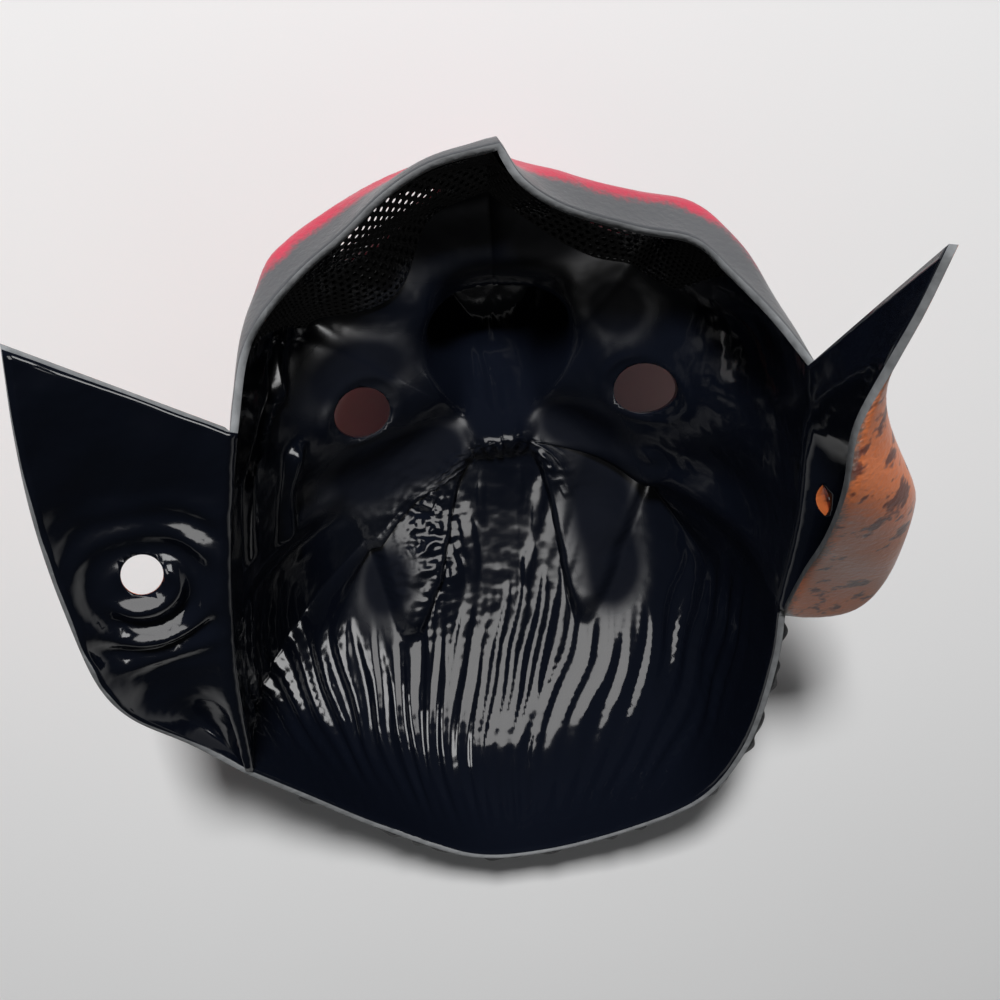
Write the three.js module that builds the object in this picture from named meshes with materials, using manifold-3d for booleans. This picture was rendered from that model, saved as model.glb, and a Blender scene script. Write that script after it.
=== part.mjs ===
// A hollow devil mask, moulded in one piece of soft vinyl, that lies face down with its chin raised.
// All sizes are in millimetres. The face frame has X to the right of someone who looks into the mask,
// Y towards the chin and Z towards the wearer, so the face itself looks along -Z.
// At the end the face frame is tilted, so that the mask rests on its nose and on the crown of its hair.

import * as THREE from 'three';
import { mergeVertices } from 'three/addons/utils/BufferGeometryUtils.js';
import Module from 'manifold-3d';

// Moulded wall and resting pose
const WALL = 1.8;
const REST_TILT = THREE.MathUtils.degToRad(16);
const REST_LEVEL = -93.2;
const REST_SHIFT = new THREE.Vector3(8.15, 30.9, -REST_LEVEL);

// The meridians of the face start between the brows and end on the rim. Those of the crown fan out
// over the widow's peak first and then run side by side, as the locks of hair do.
const POLE = new THREE.Vector3(4, -25, -70);
const MERIDIAN_SPREAD = { x: 0.85, y: 0.85 };
const MERIDIAN_DEPTH = 0.85;
const LEFT_JAW_SPREAD = { x: 1.2, y: 1.2 };
const CROWN_SPREAD = { x: 0.42, y: 0.92 };
const CROWN_BLEND = 0.15;
const LEFT_JAW_BLEND = 0.5;

// The soft mask lies a little bent, so its middle line wanders from side to side
const MIDDLE_LINE = { face: 3.5, chin: 1, chinSpan: [45, 76], crown: -6, crownSpan: [60, 160] };

// The middle and half axes of the egg whose normals push the relief outwards
const EGG_MIDDLE = new THREE.Vector3(0, -42, 15);
const EGG_AXES = new THREE.Vector3(75, 125, 85);

// The relief dies away over the last part of each meridian, and the lips only close to the rim
const RELIEF_FADE = [0.72, 1];
const LIP_FADE = [0.8, 1];

// Cut edge of the vinyl, from the chin round by the right ear and the crown to the left ear
const CHIN = [1, 76, -42];
const RIGHT_JAW = [[5, 70, -37], [14, 63, -36], [34, 55, -36], [47, 52, -34], [53, 49, -22], [60, 44, -8]];
const RIGHT_NOTCH = [65, 39, 4];
const RIGHT_ROOT = [[68, 16, 3], [70, -12, 2]];
const RIGHT_JOIN = [69, -41, 0];
const CROWN = [
  [70, -60, -2], [67, -104, -8], [57, -131, -13], [36, -148, -18], [8, -159, -22],
  [-13, -157, -22], [-42, -132, -18], [-65, -103, -11],
];
const LEFT_JOIN = [-77, -86, -6];
const LEFT_ROOT = [[-75, -38, 1], [-70, 4, 3]];
const LEFT_NOTCH = [-64, 35, 4];
const LEFT_JAW = [
  [-61, 43, -14], [-57, 46, -24], [-47, 52, -34], [-36, 58, -40], [-26, 66, -42], [-15, 72, -43],
];

// Each ear runs from its root to a free edge, by way of a belly; the first edge point is the tip
const RIGHT_EAR = {
  tip: [69, 90, 48],
  edge: [[67, 75, 45], [65, 63, 42], [62, 45, 38], [63, 29, 36], [66, 6, 25], [68, -18, 11]],
  belly: new THREE.Vector3(46, -28, -6),
  bellySpan: [0.15, 0.4],
  holeAlong: 0.46,
  holeOut: 0.09,
  holeAxis: new THREE.Vector3(-1, 0, 0.1).normalize(),
};
const LEFT_EAR = {
  tip: [-102, 70, 20],
  edge: [[-105, 48, 18], [-107, 24, 15], [-107, -5, 12], [-105, -33, 9], [-101, -48, 5], [-89, -69, -3]],
  belly: new THREE.Vector3(-4, 0, -14),
  bellySpan: [0, 0.4],
  holeAlong: 0.4,
  holeOut: 0.48,
  holeAxis: new THREE.Vector3(0.17, 0.6, 0.78).normalize(),
};
const BELLY_END_POWER = 14;

// The left ear's hole is round, and the fold squeezes that of the right ear to a slit
const LEFT_EAR_HOLE_DIAMETER = 9.6;
const RIGHT_EAR_SLIT = { length: 10, height: 1.8, turn: THREE.MathUtils.degToRad(90) };
const CONCHA = { radiusAlong: 0.17, radiusOut: 0.24, height: 4, start: 0.15 };

// Columns of facets in each stretch of the rim, and rings from the pole outwards
const COLUMNS = { jaw: 12, rightEar: 9, crown: 40, leftEar: 12 };
const RINGS = 20;
const EAR_RINGS = 7;

// Features of the face, each at half its full width from the middle line
const NOSE = {
  root: -26, tip: 4, under: 10, fold: 21, base: 36, height: 35, ledge: 8,
  halfRoot: 10, halfTip: 21, edgePower: 3,
};
const NOSTRIL = { x: 14, y: 8, radiusX: 7, radiusY: 8, height: 6 };
const EYE = {
  x: 39.5, y: -5, z: -58, socketX: 18, socketY: 13.5, depth: 5, ball: 12, ballHeight: 5, holeDiameter: 15.5,
};
const EYE_AXIS = new THREE.Vector3(0, 0.4, 0.917);
const BROW = {
  height: 3.5, halfWidth: 11, inner: -18, drop: 14, dropSpan: [6, 40], outerRise: 10, riseSpan: [45, 68],
  innerEnd: [2, 12], outerEnd: [55, 72],
};
const CHEEK = { x: 50, y: 22, radiusX: 15, radiusY: 14, height: 7 };
const MUZZLE = { y: 46, radiusX: 48, radiusY: 12, height: 8 };
const LIP = {
  height: 5, upperShare: 0.4, halfWidth: 5, upper: 43, lower: 59,
  droop: 12, droopSpan: [12, 55], end: [52, 66],
};
const KEEL = { halfWidth: 5, height: 1, span: [42, 50] };
const FOREHEAD = { x: 26, y: -48, radiusX: 12, radiusY: 14, height: 3 };
const HAIRLINE = { peak: -24, temple: -86, templeSpan: [8, 26], side: -34, sideSpan: [28, 46] };
const HAIR = { height: 3.5, step: 12, locks: 20, lockHeight: 1.8 };

// The locks die away on the spot of the crown that the mask rests on
const CROWN_SPOT = { x: 0, y: -116, radiusX: 26, radiusY: 26 };

// Mouth openings at both corners, and the black net glued in behind them
const SLOT = { x: 31, y: 50.5, z: -66, length: 35, height: 12, slant: THREE.MathUtils.degToRad(22) };
const NET = { gap: 0.35, thickness: 0.8, columns: 11, firstRing: 10, lastRing: 16 };

// Length of every tool that punches a hole through the wall, and the facets of a round one and a lens
const PUNCH_LENGTH = 40;
const PUNCH_SEGMENTS = 20;
const LENS_SEGMENTS = 8;

const VINYL = { colour: 0xb51d36, roughness: 0.45 };
const NET_CLOTH = { colour: 0x08080a, roughness: 0.9 };

const lerp = THREE.MathUtils.lerp;
const rise = ([from, to], value) => THREE.MathUtils.smoothstep(value, from, to);
const bump = (across, along) => Math.exp(-across * across - along * along);

function throughPoints(...points) {
  return new THREE.CatmullRomCurve3(points.map((point) => new THREE.Vector3(...point)));
}

// Stretches of the rim, in the order of the columns
const STRETCHES = [
  { curve: throughPoints(CHIN, ...RIGHT_JAW, RIGHT_NOTCH), columns: COLUMNS.jaw },
  { curve: throughPoints(RIGHT_NOTCH, ...RIGHT_ROOT, RIGHT_JOIN), columns: COLUMNS.rightEar },
  {
    curve: throughPoints(RIGHT_JOIN, ...CROWN, LEFT_JOIN),
    columns: COLUMNS.crown,
    locks: HAIR.locks,
    spread: CROWN_SPREAD,
    blend: CROWN_BLEND,
  },
  { curve: throughPoints(LEFT_JOIN, ...LEFT_ROOT, LEFT_NOTCH), columns: COLUMNS.leftEar },
  {
    curve: throughPoints(LEFT_NOTCH, ...LEFT_JAW, CHIN),
    columns: COLUMNS.jaw,
    spread: LEFT_JAW_SPREAD,
    blend: LEFT_JAW_BLEND,
  },
];

// Height of each feature above the face at one point, x mm from the middle line
function nose(x, y) {
  const bridge = rise([NOSE.root, NOSE.tip], y);
  const underside = 1 - rise([NOSE.under, NOSE.fold], y);
  const ledge = 1 - rise([NOSE.fold, NOSE.base], y);
  const profile = (NOSE.height - NOSE.ledge) * bridge * underside + NOSE.ledge * bridge * ledge;
  const halfWidth = lerp(NOSE.halfRoot, NOSE.halfTip, bridge);
  const across = Math.max(0, 1 - Math.abs(x / halfWidth) ** NOSE.edgePower) ** 2;
  const nostril = bump((Math.abs(x) - NOSTRIL.x) / NOSTRIL.radiusX, (y - NOSTRIL.y) / NOSTRIL.radiusY);
  return profile * across + NOSTRIL.height * nostril;
}

function eyes(x, y) {
  const across = Math.abs(x) - EYE.x;
  const along = y - EYE.y;
  const socket = bump(across / EYE.socketX, along / EYE.socketY);
  const ball = bump(across / EYE.ball, along / EYE.ball);
  return EYE.ballHeight * ball - EYE.depth * socket;
}

function brows(x, y) {
  const side = Math.abs(x);
  const outerRise = BROW.outerRise * rise(BROW.riseSpan, side);
  const line = BROW.inner - BROW.drop * rise(BROW.dropSpan, side) + outerRise;
  const ends = rise(BROW.innerEnd, side) * (1 - rise(BROW.outerEnd, side));
  return BROW.height * ends * bump(0, (y - line) / BROW.halfWidth);
}

function cheeks(x, y) {
  return CHEEK.height * bump((Math.abs(x) - CHEEK.x) / CHEEK.radiusX, (y - CHEEK.y) / CHEEK.radiusY);
}

function mouth(x, y) {
  const side = Math.abs(x);
  const droop = LIP.droop * rise(LIP.droopSpan, side);
  const upper = bump(0, (y - LIP.upper + droop / 2) / LIP.halfWidth);
  const lower = bump(0, (y - LIP.lower + droop) / LIP.halfWidth);
  const lips = LIP.height * (1 - rise(LIP.end, side)) * (upper * LIP.upperShare + lower);
  return lips + MUZZLE.height * bump(x / MUZZLE.radiusX, (y - MUZZLE.y) / MUZZLE.radiusY);
}

function keel(x, y) {
  return KEEL.height * bump(x / KEEL.halfWidth, 0) * rise(KEEL.span, y);
}

function forehead(x, y) {
  const across = (Math.abs(x) - FOREHEAD.x) / FOREHEAD.radiusX;
  return FOREHEAD.height * bump(across, (y - FOREHEAD.y) / FOREHEAD.radiusY);
}

// The hair starts in a peak between the brows, draws back over the temples and covers the crown
function hair(x, y, lockWave) {
  const side = Math.abs(x);
  const temple = lerp(HAIRLINE.peak, HAIRLINE.temple, rise(HAIRLINE.templeSpan, side));
  const line = lerp(temple, HAIRLINE.side, rise(HAIRLINE.sideSpan, side));
  const onSpot = bump((x - CROWN_SPOT.x) / CROWN_SPOT.radiusX, (y - CROWN_SPOT.y) / CROWN_SPOT.radiusY);
  return rise([0, HAIR.step], line - y) * (HAIR.height + HAIR.lockHeight * lockWave * (1 - onSpot));
}

function middleLine(y) {
  const towardsChin = lerp(MIDDLE_LINE.face, MIDDLE_LINE.chin, rise(MIDDLE_LINE.chinSpan, y));
  return lerp(towardsChin, MIDDLE_LINE.crown, rise(MIDDLE_LINE.crownSpan, -y));
}

function relief(place, y, part, lockWave) {
  const x = place - middleLine(y);
  const face = nose(x, y) + eyes(x, y) + brows(x, y) + cheeks(x, y) + keel(x, y) + forehead(x, y);
  const upper = face + hair(x, y, lockWave);
  return upper * (1 - rise(RELIEF_FADE, part)) + mouth(x, y) * (1 - rise(LIP_FADE, part));
}

function outward(point) {
  const direction = point.clone().sub(EGG_MIDDLE).divide(EGG_AXES).divide(EGG_AXES);
  return direction.normalize();
}

// A point of the face on the meridian that ends at one point of the rim, part of the way out
function facePoint(rim, part, lockWave, spread) {
  const angle = (part * Math.PI) / 2;
  const depth = 1 - Math.cos(angle) ** MERIDIAN_DEPTH;
  const base = new THREE.Vector3(
    lerp(POLE.x, rim.x, Math.sin(angle) ** spread.x),
    lerp(POLE.y, rim.y, Math.sin(angle) ** spread.y),
    lerp(POLE.z, rim.z, depth),
  );
  return base.addScaledVector(outward(base), relief(base.x, base.y, part, lockWave));
}

// A section of an ear from its root to its free edge, part of the way along from the notch to the join
function earSection(ear, root, edge, along) {
  const belly = rise(ear.bellySpan, along) * (1 - along ** BELLY_END_POWER);
  const middle = root.clone().lerp(edge, 0.5).addScaledVector(ear.belly, belly);
  return new THREE.QuadraticBezierCurve3(root, middle, edge);
}

function earPoint(ear, root, edge, along, out) {
  const section = earSection(ear, root, edge, along);
  const across = (along - ear.holeAlong) / CONCHA.radiusAlong;
  const start = Math.min(1, out / CONCHA.start);
  const mound = bump(across, (out - ear.holeOut) / CONCHA.radiusOut) * start;
  const lift = ear.belly.clone().normalize().multiplyScalar(-CONCHA.height * mound);
  return section.getPoint(out).add(lift);
}

// Triangles between two neighbouring runs of point numbers, without those that shrink to a line
function pushStrip(triangles, first, second) {
  const at = (run, index) => run[Math.min(index, run.length - 1)];
  for (let ring = 0; ring + 1 < Math.max(first.length, second.length); ring += 1) {
    const [a, b] = [at(first, ring), at(first, ring + 1)];
    const [c, d] = [at(second, ring), at(second, ring + 1)];
    for (const triangle of [[a, b, d], [a, d, c]]) {
      if (new Set(triangle).size === 3) {
        triangles.push(triangle);
      }
    }
  }
}

// The skin is the middle surface of the wall: its points, its columns of point numbers and its triangles
function buildFace() {
  const points = [POLE.clone().addScaledVector(outward(POLE), relief(POLE.x, POLE.y, 0, 0))];
  const columns = [];
  for (const { curve, columns: count, locks = 0, spread = MERIDIAN_SPREAD, blend = 1 } of STRETCHES) {
    for (let step = 0; step < count; step += 1) {
      const place = step / count;
      const rim = curve.getPointAt(place);
      const lockWave = locks ? Math.cos(2 * Math.PI * locks * place) : 0;
      const share = rise([0, blend], place) * rise([0, blend], 1 - place);
      const spreadHere = {
        x: lerp(MERIDIAN_SPREAD.x, spread.x, share),
        y: lerp(MERIDIAN_SPREAD.y, spread.y, share),
      };
      const column = [0];
      for (let ring = 1; ring <= RINGS; ring += 1) {
        column.push(points.push(facePoint(rim, ring / RINGS, lockWave, spreadHere)) - 1);
      }
      columns.push(column);
    }
  }
  const triangles = [];
  columns.forEach((column, index) => pushStrip(triangles, column, columns[(index + 1) % columns.length]));
  return { points, columns, triangles };
}

// An ear grows out of the rim ends of the columns between its notch and its join
function growEar(skin, ear, join, notchColumn, joinColumn) {
  const edgeCurve = throughPoints(ear.tip, ...ear.edge, join);
  const direction = Math.sign(joinColumn - notchColumn);
  const runs = [];
  for (let column = notchColumn; column !== joinColumn; column += direction) {
    const rootNumber = skin.columns[column][RINGS];
    const along = (column - notchColumn) / (joinColumn - notchColumn);
    const edge = edgeCurve.getPointAt(along);
    const run = [rootNumber];
    for (let ring = 1; ring <= EAR_RINGS; ring += 1) {
      const point = earPoint(ear, skin.points[rootNumber], edge, along, ring / EAR_RINGS);
      run.push(skin.points.push(point) - 1);
    }
    runs.push(run);
  }
  runs.push([skin.columns[joinColumn][RINGS]]);
  for (let index = 0; index + 1 < runs.length; index += 1) {
    const pair = direction > 0 ? [runs[index], runs[index + 1]] : [runs[index + 1], runs[index]];
    pushStrip(skin.triangles, ...pair);
  }
}

function buildSkin() {
  const skin = buildFace();
  const rightNotch = COLUMNS.jaw;
  const rightJoin = rightNotch + COLUMNS.rightEar;
  const leftJoin = rightJoin + COLUMNS.crown;
  growEar(skin, RIGHT_EAR, RIGHT_JOIN, rightNotch, rightJoin);
  growEar(skin, LEFT_EAR, LEFT_JOIN, leftJoin + COLUMNS.leftEar, leftJoin);
  return skin;
}

function vertexNormals(points, triangles) {
  const normals = points.map(() => new THREE.Vector3());
  for (const [a, b, c] of triangles) {
    const ab = points[b].clone().sub(points[a]);
    const ac = points[c].clone().sub(points[a]);
    const face = ab.cross(ac);
    for (const corner of [a, b, c]) {
      normals[corner].add(face);
    }
  }
  return normals.map((normal) => normal.normalize());
}

// Edges of a sheet of triangles that only one triangle uses, in that triangle's direction
function borderEdges(triangles) {
  const seen = new Set(triangles.flatMap(([a, b, c]) => [`${a},${b}`, `${b},${c}`, `${c},${a}`]));
  return [...seen].map((edge) => edge.split(',').map(Number)).filter(([a, b]) => !seen.has(`${b},${a}`));
}

// What the mask rests on is pressed flat, level with the table
function pressFlat(point) {
  const up = new THREE.Vector3(0, Math.sin(REST_TILT), Math.cos(REST_TILT));
  return point.addScaledVector(up, Math.max(0, REST_LEVEL - point.dot(up)));
}

// A closed body between two copies of a sheet, one moved along the normals by each offset
function thicken(points, normals, triangles, outerOffset, innerOffset) {
  const vertices = [];
  for (const offset of [outerOffset, innerOffset]) {
    points.forEach((point, index) => {
      const moved = pressFlat(point.clone().addScaledVector(normals[index], offset));
      vertices.push(moved.x, moved.y, moved.z);
    });
  }
  const count = points.length;
  const faces = [];
  for (const [a, b, c] of triangles) {
    faces.push(a, b, c, a + count, c + count, b + count);
  }
  for (const [a, b] of borderEdges(triangles)) {
    faces.push(b, a, a + count, b, a + count, b + count);
  }
  const geometry = new THREE.BufferGeometry();
  geometry.setAttribute('position', new THREE.BufferAttribute(new Float32Array(vertices), 3));
  geometry.setIndex(faces);
  return geometry;
}

const wasm = await Module();
wasm.setup();

function toManifold(geometry) {
  const bare = geometry.clone();
  bare.deleteAttribute('normal');
  bare.deleteAttribute('uv');
  const merged = mergeVertices(bare, 1e-4);
  return new wasm.Manifold(new wasm.Mesh({
    numProp: 3,
    vertProperties: new Float32Array(merged.attributes.position.array),
    triVerts: new Uint32Array(merged.index.array),
  }));
}

function fromManifold(solid) {
  const mesh = solid.getMesh();
  const geometry = new THREE.BufferGeometry();
  geometry.setAttribute('position', new THREE.BufferAttribute(mesh.vertProperties, 3));
  geometry.setIndex(new THREE.BufferAttribute(mesh.triVerts, 1));
  return geometry;
}

// A punch is a prism whose length runs along one direction through one point
function placePunch(geometry, point, direction, turn = 0) {
  geometry.rotateZ(turn);
  const towards = new THREE.Quaternion().setFromUnitVectors(new THREE.Vector3(0, 0, 1), direction);
  geometry.applyQuaternion(towards);
  geometry.translate(point.x, point.y, point.z);
  return toManifold(geometry);
}

function roundPunch(diameter, point, direction) {
  const cylinder = new THREE.CylinderGeometry(diameter / 2, diameter / 2, PUNCH_LENGTH, PUNCH_SEGMENTS);
  cylinder.rotateX(Math.PI / 2);
  return placePunch(cylinder, point, direction);
}

// A lens has two parabolas over one chord
function lensPunch({ length, height }, point, direction, turn) {
  const lens = new THREE.Shape();
  lens.moveTo(-length / 2, 0);
  lens.quadraticCurveTo(0, height, length / 2, 0);
  lens.quadraticCurveTo(0, -height, -length / 2, 0);
  const prism = new THREE.ExtrudeGeometry(lens, {
    depth: PUNCH_LENGTH,
    bevelEnabled: false,
    curveSegments: LENS_SEGMENTS,
  });
  prism.translate(0, 0, -PUNCH_LENGTH / 2);
  return placePunch(prism, point, direction, turn);
}

// An eye hole or a mouth opening lies on the image's left, side -1, or on its right, side 1
function eyePunch(side) {
  const middle = new THREE.Vector3(middleLine(EYE.y) + side * EYE.x, EYE.y, EYE.z);
  return roundPunch(EYE.holeDiameter, middle, EYE_AXIS);
}

function slotPunch(side) {
  const middle = new THREE.Vector3(middleLine(SLOT.y) + side * SLOT.x, SLOT.y, SLOT.z);
  return lensPunch(SLOT, middle, outward(middle).negate(), side * -SLOT.slant);
}

function earHoleMiddle(ear, join, root) {
  const edge = throughPoints(ear.tip, ...ear.edge, join).getPointAt(ear.holeAlong);
  return earSection(ear, root, edge, ear.holeAlong).getPoint(ear.holeOut);
}

function buildShell(skin, normals) {
  let shell = toManifold(thicken(skin.points, normals, skin.triangles, WALL / 2, -WALL / 2));
  for (const side of [-1, 1]) {
    shell = shell.subtract(eyePunch(side));
    shell = shell.subtract(slotPunch(side));
  }
  const [, rightRoot, , leftRoot] = STRETCHES.map((stretch) => stretch.curve);
  const rightHole = earHoleMiddle(RIGHT_EAR, RIGHT_JOIN, rightRoot.getPointAt(RIGHT_EAR.holeAlong));
  const leftHole = earHoleMiddle(LEFT_EAR, LEFT_JOIN, leftRoot.getPointAt(1 - LEFT_EAR.holeAlong));
  shell = shell.subtract(lensPunch(RIGHT_EAR_SLIT, rightHole, RIGHT_EAR.holeAxis, RIGHT_EAR_SLIT.turn));
  shell = shell.subtract(roundPunch(LEFT_EAR_HOLE_DIAMETER, leftHole, LEFT_EAR.holeAxis));
  return fromManifold(shell);
}

// The net is a strip of the same sheet, a little inside the wall, across both openings of the mouth
function buildNet(skin, normals) {
  const triangles = [];
  const count = skin.columns.length;
  for (let step = -NET.columns; step < NET.columns; step += 1) {
    const run = (index) => skin.columns[(index + count) % count].slice(NET.firstRing, NET.lastRing + 1);
    pushStrip(triangles, run(step), run(step + 1));
  }
  const inner = -WALL / 2 - NET.gap;
  const used = [...new Set(triangles.flat())];
  const numbers = new Map(used.map((old, index) => [old, index]));
  return thicken(
    used.map((old) => skin.points[old]),
    used.map((old) => normals[old]),
    triangles.map((triangle) => triangle.map((old) => numbers.get(old))),
    inner,
    inner - NET.thickness,
  );
}

function namedMesh(name, geometry, { colour, roughness }) {
  const material = new THREE.MeshStandardMaterial({ color: colour, roughness, metalness: 0 });
  const mesh = new THREE.Mesh(geometry, material);
  mesh.name = name;
  return mesh;
}

const skin = buildSkin();
const normals = vertexNormals(skin.points, skin.triangles);

const mask = new THREE.Group();
mask.add(namedMesh('mask_shell', buildShell(skin, normals), VINYL));
mask.add(namedMesh('mouth_net', buildNet(skin, normals), NET_CLOTH));
mask.rotation.x = REST_TILT;
mask.position.copy(REST_SHIFT);

const devilMask = new THREE.Group();
devilMask.add(mask);

export default devilMask;
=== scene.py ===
"""Looks of a hollow devil mask of soft moulded vinyl, seen from inside, as it lies face down.

The mask's own sizes are in millimetres in the face frame: X to the right of someone who looks into
the mask, Y towards the chin and Z towards the wearer. place_in_frame() turns them into the frame's metres.
"""

import bpy
import numpy as np
from mathutils import Matrix, Vector
from mathutils.kdtree import KDTree


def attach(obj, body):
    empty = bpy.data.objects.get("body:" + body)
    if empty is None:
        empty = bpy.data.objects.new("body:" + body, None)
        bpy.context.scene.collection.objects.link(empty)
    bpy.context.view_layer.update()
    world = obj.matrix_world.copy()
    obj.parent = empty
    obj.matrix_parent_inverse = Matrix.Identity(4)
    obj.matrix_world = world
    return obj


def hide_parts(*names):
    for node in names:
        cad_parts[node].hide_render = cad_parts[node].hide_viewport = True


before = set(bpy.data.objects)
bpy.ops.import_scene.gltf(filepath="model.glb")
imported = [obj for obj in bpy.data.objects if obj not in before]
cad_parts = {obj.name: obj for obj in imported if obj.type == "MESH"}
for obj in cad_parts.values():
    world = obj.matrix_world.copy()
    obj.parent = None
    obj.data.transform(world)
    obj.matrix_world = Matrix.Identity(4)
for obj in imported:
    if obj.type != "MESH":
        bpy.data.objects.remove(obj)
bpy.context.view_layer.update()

# Resting pose of the mask
MM = 0.001
WALL = 1.8
REST_TILT = np.radians(16)
REST_LEVEL = -93.2
REST_SHIFT = np.array([8.15, 30.9, -REST_LEVEL])

# Meridians of the face, from the pole between the brows to the rim
POLE = np.array([4.0, -25.0, -70.0])
PLAIN_SPREAD = (0.85, 0.85)
LEFT_JAW_SPREAD = (1.2, 1.2)
CROWN_SPREAD = (0.42, 0.92)
CROWN_BLEND = 0.15
LEFT_JAW_BLEND = 0.5
MERIDIAN_DEPTH = 0.85
MIDDLE_LINE = {"face": 3.5, "chin": 1, "chin_span": (45, 76), "crown": -6, "crown_span": (60, 160)}
EGG_MIDDLE = np.array([0.0, -42.0, 15.0])
EGG_AXES = np.array([75.0, 125.0, 85.0])
RELIEF_FADE = (0.72, 1)
LIP_FADE = (0.8, 1)

# Cut edge of the vinyl, from the chin round by the right ear and the crown to the left ear
CHIN = (1, 76, -42)
RIGHT_JAW = ((5, 70, -37), (14, 63, -36), (34, 55, -36), (47, 52, -34), (53, 49, -22), (60, 44, -8))
RIGHT_NOTCH = (65, 39, 4)
RIGHT_ROOT = ((68, 16, 3), (70, -12, 2))
RIGHT_JOIN = (69, -41, 0)
CROWN = (
    (70, -60, -2), (67, -104, -8), (57, -131, -13), (36, -148, -18), (8, -159, -22),
    (-13, -157, -22), (-42, -132, -18), (-65, -103, -11),
)
LEFT_JOIN = (-77, -86, -6)
LEFT_ROOT = ((-75, -38, 1), (-70, 4, 3))
LEFT_NOTCH = (-64, 35, 4)
LEFT_JAW = ((-61, 43, -14), (-57, 46, -24), (-47, 52, -34), (-36, 58, -40), (-26, 66, -42), (-15, 72, -43))

# Ears
RIGHT_EAR = {
    "tip": (69, 90, 48),
    "edge": ((67, 75, 45), (65, 63, 42), (62, 45, 38), (63, 29, 36), (66, 6, 25), (68, -18, 11), RIGHT_JOIN),
    "belly": (46, -28, -6),
    "belly_span": (0.15, 0.4),
    "hole_along": 0.46,
    "hole_out": 0.09,
    "hole_axis": (-1, 0, 0.1),
}
LEFT_EAR = {
    "tip": (-102, 70, 20),
    "edge": (
        (-105, 48, 18), (-107, 24, 15), (-107, -5, 12), (-105, -33, 9), (-101, -48, 5), (-89, -69, -3),
        LEFT_JOIN,
    ),
    "belly": (-4, 0, -14),
    "belly_span": (0, 0.4),
    "hole_along": 0.4,
    "hole_out": 0.48,
    "hole_axis": (0.17, 0.6, 0.78),
}
BELLY_END_POWER = 14
LEFT_EAR_HOLE_DIAMETER = 9.6
RIGHT_EAR_SLIT = {"length": 10, "height": 1.8, "turn": np.radians(90)}
CONCHA = {"radius_along": 0.17, "radius_out": 0.24, "height": 4, "start": 0.15}

# Features of the face. Those with an x above 0 have a twin on the other side of the middle line
NOSE = {
    "root": -26, "tip": 4, "under": 10, "fold": 21, "base": 36, "height": 35, "ledge": 8,
    "half_root": 10, "half_tip": 21, "edge_power": 3,
}
NOSTRIL = {"x": 14, "y": 8, "radius_x": 7, "radius_y": 8, "height": 6}
EYE = {
    "x": 39.5, "y": -5, "z": -58, "socket_x": 18, "socket_y": 13.5, "depth": 5,
    "ball": 12, "ball_height": 5, "hole_diameter": 15.5,
}
EYE_AXIS = (0, 0.4, 0.917)
BROW = {
    "height": 3.5, "half_width": 11, "inner": -18, "drop": 14, "drop_span": (6, 40),
    "outer_rise": 10, "rise_span": (45, 68), "inner_end": (2, 12), "outer_end": (55, 72),
}
CHEEK = {"x": 50, "y": 22, "radius_x": 15, "radius_y": 14, "height": 7}
MUZZLE = {"x": 0, "y": 46, "radius_x": 48, "radius_y": 12, "height": 8}
LIP = {
    "height": 5, "upper_share": 0.4, "half_width": 5, "upper": 43, "lower": 59,
    "droop": 12, "droop_span": (12, 55), "end": (52, 66),
}
KEEL = {"half_width": 5, "height": 1, "span": (42, 50)}
FOREHEAD = {"x": 26, "y": -48, "radius_x": 12, "radius_y": 14, "height": 3}
HAIRLINE = {"peak": -24, "temple": -86, "temple_span": (8, 26), "side": -34, "side_span": (28, 46)}
HAIR = {"height": 3.5, "step": 12}

# Mouth openings and net
SLOT = {"x": 31, "y": 50.5, "z": -66, "length": 35, "height": 12, "slant": np.radians(22)}
NET = {"gap": 0.35, "thickness": 0.5, "half_span": 11 / 12, "inner_part": 0.5, "outer_part": 0.8}
NET_COLUMNS = 64
NET_ROWS = 21
NET_HOLE_SHARE = 0.55

# Fineness of the skin: columns in each stretch of the rim, rings, and rings of the ears
COLUMNS = {"jaw": 50, "right_ear": 50, "crown": 340, "left_ear": 80}
RINGS = 76
RING_CROWDING = 1.5
EAR_RINGS = 26

# Fineness of curves and holes, and where the outline of a net hole starts in degrees
CURVE_STEPS = 60
ROUND_SIDES = 64
NET_HOLE_SIDES = 8
NET_HOLE_START = -135

# Length of the cutting tools, least wall where the mask rests, and how far the paint goes round the edge
PUNCH_LENGTH = 40
THINNEST_WALL = 1
PAINT_ROUND_EDGE = 0.05

# Smooth waves, each bent by a wave that crosses it
WAVE_ACROSS = {"rate": 1.9, "shift": 1, "bend": 1.4, "bend_rate": 1.1, "bend_shift": 2.3}
WAVE_ALONG = {"rate": 1.7, "shift": -1.7, "bend": 1.6, "bend_rate": 0.9, "bend_shift": -1}

# What scatters whole numbers between 0 and 1
SCATTER = {"number": 12.9898, "seed": 78.233, "spread": 43758.5453}

# Seeds: each picks one pattern of waves, locks or heights
SEED = {
    "sway": 1.0, "short_sway": 5.0, "locks": 3.0, "thin_locks": 6.0, "arch": 2.0, "arch_heights": 4.0,
    "drawn": 11.0, "frown": 4.0, "frown_gaps": 7.0, "folds": 2.0, "outer_locks": 9.0, "lumps": 5.0,
    "cross_lumps": 8.0, "ear_waves": 3.0, "ear_lumps": 1.0,
}

# Lenses that the locks are made of, as shares of a lock's length, pitch and height
SWELL = {
    "length": 0.6, "more_length": 0.7, "shift": 0.3, "bluntness": 0.7, "thinnest": 0.25,
    "width": 0.4, "more_width": 0.35, "height": 0.6, "more_height": 0.4,
}

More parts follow.
